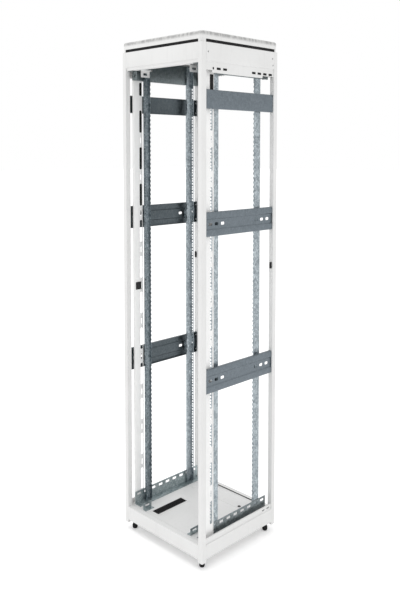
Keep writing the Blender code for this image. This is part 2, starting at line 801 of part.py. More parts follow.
def upright(end, side):
    """A C-section with one square hole for each rack unit in its mounting flange."""
    name = f"upright_{end}_{side}"
    hand = SIDE_SIGN[side]
    facing = END_SIGN[end]
    set_back = UPRIGHT_SET_BACK if end == FRONT else UPRIGHT_REAR_SET_BACK
    face_y = facing * (HALF_D - set_back)
    back_y = face_y - facing * UPRIGHT_DEEP
    inner_x = hand * BAY_OPENING / 2
    outer_x = hand * UPRIGHT_SIDE
    lip_x = hand * (UPRIGHT_SIDE - UPRIGHT_LIP)
    path = [(inner_x, face_y), (outer_x, face_y), (outer_x, back_y), (lip_x, back_y)]
    if hand * facing > 0:
        path.reverse()
    low = BASE_RAIL_BOTTOM + ZINC_SHEET + GAP
    high = TOP_DEPTH_RAIL[1] - 0.006
    mesh = extruded(name, [sheet_loop(path, ZINC_SHEET)], high - low)
    surface = galvanised(name)
    bar = add_piece(name, mesh, surface, Matrix.Translation((0, 0, (low + high) / 2)))
    half = SQUARE_HOLE / 2
    x = hand * HOLE_SPACING / 2
    holes = []
    for z in repeated(FIRST_UNIT + RACK_UNIT / 2, RACK_UNIT, RACK_UNITS):
        holes.append(((x - half, face_y - 0.005, z - half), (x + half, face_y + 0.005, z + half)))
    cut(bar, holes)
    for level in ("middle", "lower"):
        upright_bracket(end, side, level, face_y, surface)


def upright_bracket(end, side, level, face_y, surface):
    """A block of folded sheet that steadies an upright against a side rail."""
    name = f"upright_bracket_{level}_{end}_{side}"
    bottom, top = SIDE_RAILS[level]
    middle = (bottom + top) / 2
    facing = END_SIGN[end]
    depth = sorted(face_y - facing * a + HALF_D for a in BRACKET_DEPTH)
    outer = SIDE_RAIL_EDGE + GAP
    inner = HALF_W - RAIL_SIDE
    box = side_box(side, (outer, inner), depth, (middle - BRACKET_HALF, middle + BRACKET_HALF))
    add_piece(name, box_mesh(name, [box]), surface)


# ---------------------------------------------------------------- assembly


def build_rack():
    """Make every piece."""
    for end in ENDS:
        end_fascia(end)
        end_skirt(end)
        for side in SIDES:
            corner_post(end, side)
            upright(end, side)
    for side in SIDES:
        side_fascia(side)
        side_skirt(side)
        top_depth_rail(side)
        base_depth_rail(side)
        slotted_panel(side)
        for level in SIDE_RAILS:
            side_rail(level, side)
    floor_panels()
    brush_entry()
    latch_keepers()
    levelling_feet()
    roof_deck()
    roof_vent_seal()
    roof_cover()


build_rack()
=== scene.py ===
# Looks of the network server rack: fine sheet-metal shapes, fasteners, brush bristles and
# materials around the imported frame, with the floor, the light and the camera.
import math
import random

import bmesh
import bpy
from mathutils import Matrix, Vector


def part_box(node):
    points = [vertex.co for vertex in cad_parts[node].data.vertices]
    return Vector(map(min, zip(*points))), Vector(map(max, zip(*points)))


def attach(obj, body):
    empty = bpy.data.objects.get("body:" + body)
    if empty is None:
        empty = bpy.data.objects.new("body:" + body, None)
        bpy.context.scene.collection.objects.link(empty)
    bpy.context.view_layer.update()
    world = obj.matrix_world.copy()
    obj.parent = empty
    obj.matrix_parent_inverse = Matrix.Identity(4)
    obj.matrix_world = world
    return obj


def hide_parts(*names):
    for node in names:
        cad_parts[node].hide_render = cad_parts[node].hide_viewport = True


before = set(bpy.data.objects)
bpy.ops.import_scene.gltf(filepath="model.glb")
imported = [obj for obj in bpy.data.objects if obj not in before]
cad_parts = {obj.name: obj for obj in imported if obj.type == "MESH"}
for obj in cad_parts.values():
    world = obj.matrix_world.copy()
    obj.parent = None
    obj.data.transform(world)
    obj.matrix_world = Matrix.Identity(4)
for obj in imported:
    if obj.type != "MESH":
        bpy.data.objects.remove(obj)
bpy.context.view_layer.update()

random.seed(7)

# ---- names and sizes

FRONT = "front"
REAR = "rear"
LEFT = "left"
RIGHT = "right"
ENDS = (FRONT, REAR)
SIDES = (LEFT, RIGHT)
SIDE_SIGN = {LEFT: -1, RIGHT: 1}
END_SIGN = {FRONT: -1, REAR: 1}
UP = Vector((0, 0, 1))
INWARD = {
    FRONT: Vector((0, 1, 0)),
    REAR: Vector((0, -1, 0)),
    LEFT: Vector((1, 0, 0)),
    RIGHT: Vector((-1, 0, 0)),
}

ROOF_LOW, ROOF_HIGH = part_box("roof_cover")
HALF_W = ROOF_HIGH.x
HALF_D = ROOF_HIGH.y
WIDTH = 2 * HALF_W
DEPTH = 2 * HALF_D
PAINTED_SHEET = 0.0015
ZINC_SHEET = 0.0020
BEND = 0.0010                   # inside radius of a fold
BEND_STEPS = 4
ROUND_STEPS = 36                # facets round a fastener
SHARP_ANGLE = 32                # degrees between faces, above which an edge looks sharp
SOFTENED_ANGLE = 50             # and above which it is rounded
RACK_UNIT = 0.04445
ROOT = "root"

# ---- outlines


def rounded_corner(before, corner, after, radius, steps):
    """Points of the arc that rounds one corner of an outline."""
    a = (before - corner).normalized()
    b = (after - corner).normalized()
    half = a.angle(b) / 2
    if half > math.radians(88):
        return [corner]
    reach = radius / math.tan(half)
    centre = corner + (a + b).normalized() * (radius / math.sin(half))
    start = corner + a * reach - centre
    end = corner + b * reach - centre
    first = math.atan2(start.y, start.x)
    sweep = math.atan2(end.y, end.x) - first
    sweep = (sweep + math.pi) % (2 * math.pi) - math.pi
    points = []
    for i in range(steps + 1):
        angle = first + sweep * i / steps
        points.append(centre + radius * Vector((math.cos(angle), math.sin(angle))))
    return points


def sheet_outline(path, thickness, bend=BEND):
    """Closed outline of a folded sheet that lies to the left of the path of its outer face."""
    points = [Vector(p) for p in path]
    runs = [(b - a).normalized() for a, b in zip(points, points[1:])]
    normals = [Vector((-d.y, d.x)) for d in runs]
    before = [normals[0]] + normals
    after = normals + [normals[-1]]
    offset = [p + (m + n) * (thickness / (1 + m.dot(n)))
              for p, m, n in zip(points, before, after)]
    near = [points[0]]
    far = [offset[0]]
    for i in range(1, len(points) - 1):
        turn = runs[i - 1].cross(runs[i])
        near_radius = bend + thickness if turn > 0 else bend
        far_radius = bend if turn > 0 else bend + thickness
        near += rounded_corner(points[i - 1], points[i], points[i + 1], near_radius, BEND_STEPS)
        far += rounded_corner(offset[i - 1], offset[i], offset[i + 1], far_radius, BEND_STEPS)
    near.append(points[-1])
    far.append(offset[-1])
    return near + far[::-1]


def rounded_outline(corners, radii, steps):
    """Closed outline with a rounding for each corner."""
    corners = [Vector(c) for c in corners]
    outline = []
    for i, radius in enumerate(radii):
        after = corners[(i + 1) % len(corners)]
        outline += rounded_corner(corners[i - 1], corners[i], after, radius, steps)
    return outline


def rectangle(low, high):
    """Corners of a rectangle, anticlockwise."""
    return [(low[0], low[1]), (high[0], low[1]), (high[0], high[1]), (low[0], high[1])]


def circle(radius, steps):
    """Points of a circle, anticlockwise."""
    turn = 2 * math.pi / steps
    return [Vector((radius * math.cos(i * turn), radius * math.sin(i * turn)))
            for i in range(steps)]


# ---- meshes


def add_rings(shape, rings, matrix=None, closed_tube=False):
    """Move rings of points, join each to the next with quads, and cap or join the ends."""
    matrix = matrix or Matrix.Identity(4)
    loops = [[shape.verts.new(matrix @ p) for p in ring] for ring in rings]
    pairs = list(zip(loops, loops[1:]))
    if closed_tube:
        pairs.append((loops[-1], loops[0]))
    for low, high in pairs:
        count = len(low)
        for i in range(count):
            j = (i + 1) % count
            shape.faces.new((low[i], low[j], high[j], high[i]))
    if not closed_tube:
        shape.faces.new(loops[0][::-1])
        shape.faces.new(loops[-1])


def ring_at(z, outline):
    """A flat outline lifted to a height."""
    return [Vector((p[0], p[1], z)) for p in outline]


def add_prism(shape, outline, low, high, matrix=None):
    """A flat outline run from one height to the other along its own Z."""
    add_rings(shape, [ring_at(z, outline) for z in (low, high)], matrix)


def add_tube(shape, outer, inner, low, high, matrix=None):
    """A hollow prism between two outlines with the same number of points."""
    levels = ((low, outer), (high, outer), (high, inner), (low, inner))
    add_rings(shape, [ring_at(*level) for level in levels], matrix, closed_tube=True)


def add_turned(shape, profile, steps, matrix):
    """A turned solid from (radius, height) pairs, bottom to top."""
    add_rings(shape, [ring_at(z, circle(radius, steps)) for radius, z in profile], matrix)


def face_frame(face):
    """Axes of one face of the rack: across = inboard, up, and along = horizontal."""
    inward = INWARD[face]
    along = inward.cross(UP)
    reach = HALF_D if face in ENDS else HALF_W
    axes = Matrix((inward, UP, along)).transposed().to_4x4()
    return Matrix.Translation(inward * -reach) @ axes


def axis_frame(place, axis):
    """Axes with Z along the given direction."""
    turn = Vector(axis).to_track_quat("Z", "Y").to_matrix().to_4x4()
    return Matrix.Translation(place) @ turn


def plan_centre(low, high):
    """Middle of a box in plan, at height zero."""
    return Vector(((low.x + high.x) / 2, (low.y + high.y) / 2, 0))


def side_range(side, inboard, depth, height):
    """World box from ranges inboard of a side, behind the front and above the floor."""
    sign = SIDE_SIGN[side]
    xs = sorted(sign * (HALF_W - a) for a in inboard)
    ys = sorted(a - HALF_D for a in depth)
    return Vector((xs[0], ys[0], height[0])), Vector((xs[1], ys[1], height[1]))


def add_slot(shape, low, high, axis, radius, steps=4):
    """A rounded-rectangle prism that fills a world box, seen along one axis."""
    across, up = [i for i in range(3) if i != axis]
    corners = rectangle((low[across], low[up]), (high[across], high[up]))
    outline = rounded_outline(corners, [radius] * 4, steps)
    rings = []
    for level in (low[axis], high[axis]):
        ring = []
        for p in outline:
            point = [0.0, 0.0, 0.0]
            point[across] = p.x
            point[up] = p.y
            point[axis] = level
            ring.append(Vector(point))
        rings.append(ring)
    add_rings(shape, rings)


def linked(name, data):
    """An object of the scene."""
    thing = bpy.data.objects.new(name, data)
    bpy.context.scene.collection.objects.link(thing)
    return thing


def as_piece(name, shape):
    """Turn a bmesh into a piece with its faces as they are."""
    mesh = bpy.data.meshes.new(name)
    shape.to_mesh(mesh)
    shape.free()
    return linked(name, mesh)


def new_piece(name, shape):
    """Turn a bmesh into a piece with its faces outwards."""
    bmesh.ops.recalc_face_normals(shape, faces=shape.faces)
    return as_piece(name, shape)


def settle(piece):
    """Make a piece's modifiers its mesh."""
    bpy.context.view_layer.update()
    graph = bpy.context.evaluated_depsgraph_get()
    mesh = bpy.data.meshes.new_from_object(piece.evaluated_get(graph))
    piece.modifiers.clear()
    piece.data = mesh


def carve(piece, tool_shape, operation="DIFFERENCE"):
    """Cut a bmesh out of a piece, or join it on."""
    tool = new_piece("tool", tool_shape)
    step = piece.modifiers.new("Carve", "BOOLEAN")
    step.operation = operation
    step.object = tool
    step.solver = "EXACT"
    settle(piece)
    bpy.data.objects.remove(tool)


def soften(piece, width):
    """Round the sharp edges of a piece a little."""
    step = piece.modifiers.new("Edges", "BEVEL")
    step.width = width
    step.segments = 2
    step.limit_method = "ANGLE"
    step.angle_limit = math.radians(SOFTENED_ANGLE)
    settle(piece)


def finish_piece(piece, surface, body=ROOT, nodes=()):
    """Shade a piece, give it its material, and tie it to the frame."""
    mesh = piece.data
    mesh.shade_smooth()
    mesh.set_sharp_from_angle(angle=math.radians(SHARP_ANGLE))
    mesh.materials.clear()
    mesh.materials.append(surface)
    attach(piece, body)
    if nodes:
        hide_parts(*nodes)


def copied_node(node, width):
    """A copy of a CAD node with whole faces and softened edges."""
    shape = bmesh.new()
    shape.from_mesh(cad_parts[node].data)
    bmesh.ops.remove_doubles(shape, verts=shape.verts, dist=0.00001)
    bmesh.ops.dissolve_limit(shape, angle_limit=math.radians(1), verts=shape.verts,
                             edges=shape.edges)
    piece = as_piece(node + "_sheet", shape)
    soften(piece, width)
    return piece


# ---- materials


def new_surface(name):
    """A node material; returns it with its tree, shader and object coordinates."""
    surface = bpy.data.materials.new(name)
    surface.use_nodes = True
    tree = surface.node_tree
    shader = tree.nodes["Principled BSDF"]
    place = tree.nodes.new("ShaderNodeTexCoord").outputs["Object"]
    return surface, tree, shader, place


def noise(tree, place, scale, detail, roughness=0.5):
    """Value of a noise texture."""
    node = tree.nodes.new("ShaderNodeTexNoise")
    node.inputs["Scale"].default_value = scale
    node.inputs["Detail"].default_value = detail
    node.inputs["Roughness"].default_value = roughness
    tree.links.new(place, node.inputs["Vector"])
    return node.outputs["Fac"]


def cells(tree, place, scale):
    """A random value for each crystal of a cell pattern."""
    node = tree.nodes.new("ShaderNodeTexVoronoi")
    node.inputs["Scale"].default_value = scale
    tree.links.new(place, node.inputs["Vector"])
    split = tree.nodes.new("ShaderNodeSeparateColor")
    tree.links.new(node.outputs["Color"], split.inputs["Color"])
    return split.outputs["Red"]


def stretched(tree, place, scale):
    """Coordinates scaled by axis."""
    node = tree.nodes.new("ShaderNodeMapping")
    node.inputs["Scale"].default_value = scale
    tree.links.new(place, node.inputs["Vector"])
    return node.outputs["Vector"]


def spread(tree, value, low, high, start=0.3, end=0.7):
    """Map a value's middle range onto new limits."""
    node = tree.nodes.new("ShaderNodeMapRange")
    node.inputs["From Min"].default_value = start
    node.inputs["From Max"].default_value = end
    node.inputs["To Min"].default_value = low
    node.inputs["To Max"].default_value = high
    tree.links.new(value, node.inputs["Value"])
    return node.outputs["Result"]


def ramp(tree, value, stops):
    """Colours along a value."""
    node = tree.nodes.new("ShaderNodeValToRGB")
    elements = node.color_ramp.elements
    while len(elements) < len(stops):
        elements.new(0.5)
    for element, (position, color) in zip(elements, stops):
        element.position = position
        element.color = (*color, 1)
    tree.links.new(value, node.inputs["Fac"])
    return node.outputs["Color"]


def blend_colors(tree, factor, first, second, mode="MIX"):
    """Mix two colours by a factor, which may be a number."""
    node = tree.nodes.new("ShaderNodeMix")
    node.data_type = "RGBA"
    node.blend_type = mode
    if isinstance(factor, float):
        node.inputs[0].default_value = factor
    else:
        tree.links.new(factor, node.inputs[0])
    tree.links.new(first, node.inputs[6])
    tree.links.new(second, node.inputs[7])
    return node.outputs[2]


def bump(tree, shader, height, distance, strength):
    """Raise a surface by a value."""
    node = tree.nodes.new("ShaderNodeBump")
    node.inputs["Strength"].default_value = strength
    node.inputs["Distance"].default_value = distance
    tree.links.new(height, node.inputs["Height"])
    tree.links.new(node.outputs["Normal"], shader.inputs["Normal"])


def coat(tree, shader, color, roughness, metallic=0.0, specular=0.5):
    """Set what a surface is made of."""
    tree.links.new(color, shader.inputs["Base Color"])
    tree.links.new(roughness, shader.inputs["Roughness"])
    shader.inputs["Metallic"].default_value = metallic
    shader.inputs["Specular IOR Level"].default_value = specular


def product(tree, first, second):
    """Two values multiplied."""
    node = tree.nodes.new("ShaderNodeMath")
    node.operation = "MULTIPLY"
    tree.links.new(first, node.inputs[0])
    tree.links.new(second, node.inputs[1])
    return node.outputs["Value"]


def powder_coat(name, light, dark, shaded_edge=None):
    """Light powder coat: a fine orange peel with faint drifts of tone and rub marks.

    A roof gets painted shade on its rounded top edge: streaked grey builds up going up between
    the two given heights, and thins out on the flat top.
    """
    surface, tree, shader, place = new_surface(name)
    peel = noise(tree, place, 520, 2.0)
    drift = noise(tree, place, 5.5, 4.0)
    rubs = noise(tree, stretched(tree, place, (60, 60, 7)), 1.0, 5.0, 0.65)
    tone = ramp(tree, drift, ((0.30, dark), (0.70, light)))
    marks = ramp(tree, rubs, ((0.28, (0.90, 0.90, 0.90)), (0.46, (1, 1, 1))))
    color = blend_colors(tree, 0.6, tone, marks, "MULTIPLY")
    # Painted shade on a roof's rounded top edge: streaked grey mixed into the coat, thinning out
    # on the flat top.
    if shaded_edge:
        split = tree.nodes.new("ShaderNodeSeparateXYZ")
        tree.links.new(place, split.inputs["Vector"])
        rise = spread(tree, split.outputs["Z"], 0.0, 0.85, *shaded_edge)
        top_fade = spread(tree, split.outputs["Z"], 1.0, 0.20, *SHADE_FADE_TOP)
        rise = product(tree, rise, top_fade)
        streaks = noise(tree, stretched(tree, place, (70, 70, 30)), 1.0, 3.0)
        dust_and_shade = ramp(tree, streaks, ((0.40, (0.27, 0.27, 0.27)), (0.60, (0.46, 0.46, 0.45))))
        color = blend_colors(tree, rise, color, dust_and_shade)
    coat(tree, shader, color, spread(tree, rubs, 0.36, 0.52), specular=0.45)
    bump(tree, shader, peel, 0.00012, 0.35)
    return surface


def zinc(name, dark, middle, light):
    """Zinc-plated sheet: blue-grey crystals of several sizes under faint rolling lines."""
    surface, tree, shader, place = new_surface(name)
    warp = noise(tree, place, 45, 2.0)
    coarse = cells(tree, stretched(tree, place, (1.0, 1.0, 0.8)), 95)
    fine = cells(tree, place, 260)
    lines = noise(tree, stretched(tree, place, (700, 700, 12)), 1.0, 3.0)
    first = ramp(tree, coarse, ((0.10, dark), (0.50, middle), (0.95, light)))
    second = ramp(tree, fine, ((0.05, dark), (0.60, middle), (1.0, light)))
    color = blend_colors(tree, spread(tree, warp, 0.15, 0.85), first, second)
    shade = ramp(tree, lines, ((0.30, (0.86, 0.87, 0.88)), (0.65, (1, 1, 1))))
    color = blend_colors(tree, 0.7, color, shade, "MULTIPLY")
    coat(tree, shader, color, spread(tree, coarse, 0.30, 0.52, 0.0, 1.0), metallic=0.88)
    bump(tree, shader, fine, 0.00006, 0.25)
    return surface


def moulded(name, color, roughness, grain=900, depth=0.00010):
    """Black moulding with a fine grain and dusty patches."""
    surface, tree, shader, place = new_surface(name)
    texture = noise(tree, place, grain, 3.0)
    dust_and_shade = noise(tree, place, 38, 5.0, 0.6)
    lighter = tuple(c * 2.2 + 0.0015 for c in color)
    tone = ramp(tree, dust_and_shade, ((0.42, color), (0.78, lighter)))
    gloss = spread(tree, dust_and_shade, roughness - 0.08, roughness + 0.12)
    coat(tree, shader, tone, gloss, specular=0.3)
    bump(tree, shader, texture, depth, 0.5)
    return surface


def blacked_steel(name):
    """Blackened thread with oil and bare flecks on its crests."""
    surface, tree, shader, place = new_surface(name)
    flecks = noise(tree, place, 420, 4.0, 0.7)
    color = ramp(tree, flecks, ((0.55, (0.018, 0.018, 0.020)), (0.74, (0.11, 0.11, 0.12))))
    coat(tree, shader, color, spread(tree, flecks, 0.30, 0.48), metallic=0.85)
    bump(tree, shader, flecks, 0.00005, 0.3)
    return surface


LIGHT_GREY = ((0.735, 0.735, 0.730), (0.700, 0.700, 0.694))
# A lighter copy of the same grey coat for the slotted panels, painted light because they stand
# in shade.
LIT_PANEL_GREY = ((0.870, 0.870, 0.865), (0.835, 0.835, 0.830))
# Heights on the roof's rounded top edge where painted shade builds up, and where it thins out on
# the flat top.
SHADED_EDGE = (ROOF_HIGH.z - 0.0240, ROOF_HIGH.z - 0.0125)
SHADE_FADE_TOP = (ROOF_HIGH.z - 0.0040, ROOF_HIGH.z - 0.0005)

PAINT = powder_coat("light_grey_coat", *LIGHT_GREY)
ROOF_PAINT = powder_coat("light_grey_roof_coat", *LIGHT_GREY, SHADED_EDGE)
LIT_PANEL_PAINT = powder_coat("light_grey_panel_coat_painted_light", *LIT_PANEL_GREY)
ZINC = zinc("zinc_sheet", (0.115, 0.142, 0.160), (0.195, 0.232, 0.255), (0.42, 0.48, 0.51))
# A lighter copy of the same zinc, painted light, for the uprights whose webs face the light.
LIT_ZINC = zinc("zinc_sheet_painted_light", (0.200, 0.232, 0.252), (0.340, 0.388, 0.418),
                   (0.62, 0.68, 0.71))
# The same zinc for the side rails in a darker copy on the left, painted shade, and a lighter
# copy on the right, painted light.
RAIL_ZINC_LIT_AND_SHADED = {
    LEFT: zinc("zinc_rail_left_painted_shade", (0.075, 0.090, 0.100), (0.098, 0.118, 0.128),
               (0.130, 0.152, 0.165)),
    RIGHT: zinc("zinc_rail_right_painted_light", (0.140, 0.165, 0.185), (0.168, 0.196, 0.218),
                (0.205, 0.236, 0.262)),
}
SLATE_ZINC = zinc("zinc_slate", (0.165, 0.190, 0.196), (0.205, 0.235, 0.242),
                  (0.265, 0.300, 0.308))
# The same zinc for the base depth rails in a lighter copy on the left, painted light, and a
# darker copy on the right, painted shade.
BASE_ZINC_LIT_AND_SHADED = {
    LEFT: zinc("zinc_base_left_painted_light", (0.220, 0.265, 0.275), (0.330, 0.385, 0.395),
               (0.54, 0.60, 0.61)),
    RIGHT: zinc("zinc_base_right_painted_shade", (0.150, 0.172, 0.180), (0.215, 0.244, 0.254),
                (0.35, 0.39, 0.40)),
}
BOLT_ZINC = zinc("zinc_bolt", (0.34, 0.35, 0.35), (0.46, 0.47, 0.47), (0.60, 0.61, 0.60))
PLASTIC = moulded("black_moulding", (0.010, 0.010, 0.011), 0.50)
# Black rubber for the feet, also used for the black sheets of painted shade behind slots and
# along the floor's rear edge.
RUBBER_AND_SHADE = moulded("black_rubber_and_painted_shade", (0.003, 0.003, 0.0032), 0.66, grain=600)
BRISTLE = moulded("black_bristle", (0.008, 0.008, 0.009), 0.55, grain=1800, depth=0.00004)
THREAD = blacked_steel("blacked_thread")

# ---- fasteners


def hexagon_rings(flat, levels):
    """Rings of a hexagon head, (limit radius, height) at each level, chamfered by the limit."""
    rings = []
    for limit, height in levels:
        ring = []
        for i in range(ROUND_STEPS):
            angle = 2 * math.pi * i / ROUND_STEPS
            around = (angle + math.pi / 6) % (math.pi / 3) - math.pi / 6
            radius = min(flat / math.cos(around), limit)
            ring.append(Vector((radius * math.cos(angle), radius * math.sin(angle), height)))
        rings.append(ring)
    return rings


def add_hexagon_head(shape, place, axis, flat, height):
    """A flanged hexagon bolt head that stands on a face."""
    matrix = axis_frame(place, axis)
    flange = [(flat * 1.45, 0.0), (flat * 1.45, height * 0.14), (flat * 1.15, height * 0.34)]
    add_turned(shape, flange, 28, matrix)
    top = flat / math.cos(math.pi / 6)
    levels = ((top, height * 0.2), (top, height * 0.86), (flat * 0.97, height),
              (flat * 0.55, height), (flat * 0.45, height * 0.9))
    add_rings(shape, hexagon_rings(flat, levels), matrix)


def add_socket_screw(shape, place, axis, radius, height):
    """A low button head with a hexagon socket."""
    profile = ((radius, 0.0), (radius, height * 0.25), (radius * 0.90, height * 0.62),
               (radius * 0.72, height * 0.88), (radius * 0.56, height))
    rings = [ring_at(z, circle(limit, ROUND_STEPS)) for limit, z in profile]
    socket = radius * 0.42
    rings += hexagon_rings(socket, ((math.inf, height), (math.inf, height * 0.30)))
    add_rings(shape, rings, axis_frame(place, axis))


# ---- corner posts

POST_WALL = 0.0020
POST_ROUNDING = 0.006           # outer corner of a post
POST_EDGE = 0.0022              # its other three corners
POST_CORNERS = ((FRONT, LEFT), (FRONT, RIGHT), (REAR, RIGHT), (REAR, LEFT))


def corner_post(end, side):
    """A rolled tube, rounded most at its outer corner."""
    node = f"corner_post_{end}_{side}"
    low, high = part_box(node)
    half = Vector((high.x - low.x, high.y - low.y)) / 2
    roundings = [POST_ROUNDING if turn == (end, side) else POST_EDGE for turn in POST_CORNERS]
    outer = rounded_outline(rectangle(-half, half), roundings, 8)
    half -= Vector((POST_WALL, POST_WALL))
    roundings = [r - POST_WALL for r in roundings]
    inner = rounded_outline(rectangle(-half, half), roundings, 8)
    shape = bmesh.new()
    add_tube(shape, outer, inner, low.z, high.z, Matrix.Translation(plan_centre(low, high)))
    finish_piece(new_piece(node + "_tube", shape), PAINT, nodes=(node,))


# ---- folded painted sheets


def folded(name, face, path, thickness, low, high):
    """A folded sheet on one face of the rack, between two places along that face."""
    shape = bmesh.new()
    add_prism(shape, sheet_outline(path, thickness), low, high, face_frame(face))
    return new_piece(name, shape)


FASCIA_SET_BACK = 0.0005
FASCIA_STEP = 0.0045
END_REACH = 0.00025             # painted rails close the hairline gap at the posts
END_LIP = 0.015                 # height of the stepped lip of an end top rail
END_FLANGES = (0.0277, 0.035)   # how far its upper and lower flanges reach in


def end_fascia(end):
    """Front or rear top rail with folded edges."""
    node = f"top_rail_{end}"
    low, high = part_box(node)
    face = FASCIA_SET_BACK
    step = face + FASCIA_STEP
    upper, lower = END_FLANGES
    crease = low.z + END_LIP
    path = [(upper, high.z), (face, high.z), (face, crease), (step, crease),
            (step, low.z), (lower, low.z)]
    reach = high.x + END_REACH
    piece = folded(node + "_sheet", end, path, PAINTED_SHEET, -reach, reach)
    finish_piece(piece, PAINT, nodes=(node,))


SIDE_BAND = 0.048               # height of the stepped band of a side top rail
SIDE_FLANGE = 0.030
BAND_RETURN = 0.007             # the short fold along the edge of a band
BAND_CUT = (0.002, 0.010)       # reach of a cutter through a band
REAR_SLOT_ENDS = [DEPTH - 0.038 - 0.041 * i for i in range(4)]
SIDE_SLOTS = [(0.072, 0.082), (0.099, 0.126), (0.141, 0.168)]
SIDE_SLOTS += [(end - 0.027, end) for end in REAR_SLOT_ENDS]
SIDE_NOTCHES = ((0.020, 0.070), (DEPTH - 0.110, DEPTH - 0.020))
# Stretches of the side bands backed with black sheets, painted shade behind the slots.
SIDE_SHADE_SHEETS = ((0.066, 0.174), (DEPTH - 0.196, DEPTH - 0.034))


def side_fascia(side):
    """Side top rail with rounded slots and notches."""
    node = f"top_rail_{side}"
    low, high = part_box(node)
    face = FASCIA_SET_BACK
    step = face + FASCIA_STEP
    crease = low.z + SIDE_BAND
    path = [(SIDE_FLANGE, high.z), (face, high.z), (face, crease), (step, crease),
            (step, low.z), (step + BAND_RETURN, low.z)]
    reach = high.y + END_REACH
    piece = folded(node + "_sheet", side, path, PAINTED_SHEET, -reach, reach)
    tool = bmesh.new()
    height = (crease - 0.034, crease - 0.023)
    for depth in SIDE_SLOTS:
        add_slot(tool, *side_range(side, BAND_CUT, depth, height), 0, 0.0025)
    below = (low.z - 0.01, low.z + 0.010)
    for depth in SIDE_NOTCHES:
        add_slot(tool, *side_range(side, (-0.001, 0.020), depth, below), 0, 0.003)
    screw_height = (high.z + crease) / 2
    places = [(0.040, screw_height), (DEPTH - 0.040, screw_height + 0.008),
              (DEPTH - 0.036, screw_height - 0.024)]
    for depth, z in places:
        centre = Vector((SIDE_SIGN[side] * (HALF_W - face), depth - HALF_D, z))
        matrix = axis_frame(centre, (SIDE_SIGN[side], 0, 0))
        add_prism(tool, circle(0.0042, 24), -0.003, 0.002, matrix)
    carve(piece, tool)
    finish_piece(piece, PAINT, nodes=(node,))
    heads = bmesh.new()
    for depth, z in places:
        inset = face + PAINTED_SHEET + 0.0006
        centre = Vector((SIDE_SIGN[side] * (HALF_W - inset), depth - HALF_D, z))
        add_socket_screw(heads, centre, (SIDE_SIGN[side], 0, 0), 0.0040, 0.0020)
    finish_piece(new_piece(f"top_rail_screws_{side}", heads), BOLT_ZINC)
    # Black sheets behind the band's slots are painted shade, so that the slots read dark.
    liner = bmesh.new()
    behind = step + PAINTED_SHEET + 0.0002
    height = (height[0] - 0.006, height[1] + 0.006)
    for depth in SIDE_SHADE_SHEETS:
        add_slot(liner, *side_range(side, (behind, behind + 0.001), depth, height), 0, 0.003)
    finish_piece(new_piece(f"top_rail_painted_shade_{side}", liner), RUBBER_AND_SHADE)


POST_INNER = 0.0263             # inner face of a post, from the side
FLOOR_LEDGE = 0.038
END_RETURN = 0.012              # lower folds of the base skirts
SIDE_RETURN = 0.024
CORNER_PLATE = (0.066, 0.069)   # bottom and top of the plates that hold the feet
CORNER_PLATE_START = 0.0012
CORNER_PLATE_REACH = 0.058
FOOT_HOLE = 0.0065              # radius
BASE_BAND = 0.0255              # height of the stepped band of a side skirt
BASE_SLOT = (0.022, 0.008)
BASE_SLOTS = (0.040, 0.075)     # from the rear


def end_skirt(end):
    """Front or rear base skirt: face, ledge, bottom return, and corner plates with holes."""
    node = f"base_skirt_{end}"
    low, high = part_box(node)
    face = FASCIA_SET_BACK
    path = [(FLOOR_LEDGE, high.z), (face, high.z), (face, low.z), (END_RETURN, low.z)]
    reach = HALF_W - POST_INNER + END_REACH
    piece = folded(node + "_sheet", end, path, PAINTED_SHEET, -reach, reach)
    plate = CORNER_PLATE
    depth = (CORNER_PLATE_START, CORNER_PLATE_REACH)
    if end == REAR:
        depth = (DEPTH - CORNER_PLATE_REACH, DEPTH - CORNER_PLATE_START)
    plates = bmesh.new()
    for side in SIDES:
        corner = side_range(side, (POST_INNER + 0.0005, CORNER_PLATE_REACH), depth, plate)
        add_slot(plates, *corner, 2, 0.0015)
    carve(piece, plates, "UNION")
    holes = bmesh.new()
    for side in SIDES:
        centre = plan_centre(*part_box(f"foot_pad_{end}_{side}"))
        add_prism(holes, circle(FOOT_HOLE, 28), plate[0] - 0.001, plate[1] + 0.001,
                  Matrix.Translation(centre))
    carve(piece, holes)
    finish_piece(piece, PAINT, nodes=(node,))


def side_skirt(side):
    """Side base skirt with a stepped-back slotted band."""
    node = f"base_skirt_{side}"
    low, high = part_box(node)
    face = FASCIA_SET_BACK
    step = face + FASCIA_STEP
    skirt_top = high.z - BASE_BAND
    path = [(step + BAND_RETURN, high.z), (step, high.z), (step, skirt_top),
            (face, skirt_top), (face, low.z), (SIDE_RETURN, low.z)]
    reach = high.y + END_REACH
    piece = folded(node + "_sheet", side, path, PAINTED_SHEET, -reach, reach)
    middle = (skirt_top + high.z) / 2
    long, tall = BASE_SLOT
    height = (middle - tall / 2, middle + tall / 2)
    tool = bmesh.new()
    for start in BASE_SLOTS:
        depth = (DEPTH - start - long, DEPTH - start)
        add_slot(tool, *side_range(side, BAND_CUT, depth, height), 0, 0.0038)
    carve(piece, tool)
    finish_piece(piece, PAINT, nodes=(node,))


PANEL_FLANGE = 0.0105
PANEL_RETURN = 0.005
PANEL_SLOT_START = 0.187
PANEL_SLOT_PITCH = 0.185
PANEL_SLOT_TALL = 0.112
PANEL_SLOTS = 11
PANEL_SMALL_SLOT = (0.131, 0.161)   # ends of a small slot, from the long one below it
PANEL_TOP_SLOT = (2.222, 2.288)     # a shorter slot above the others
SHADE_BACKED_SLOTS = {LEFT: 4, RIGHT: 1}  # upper slots of each panel backed with a black sheet, painted shade that makes them read dark
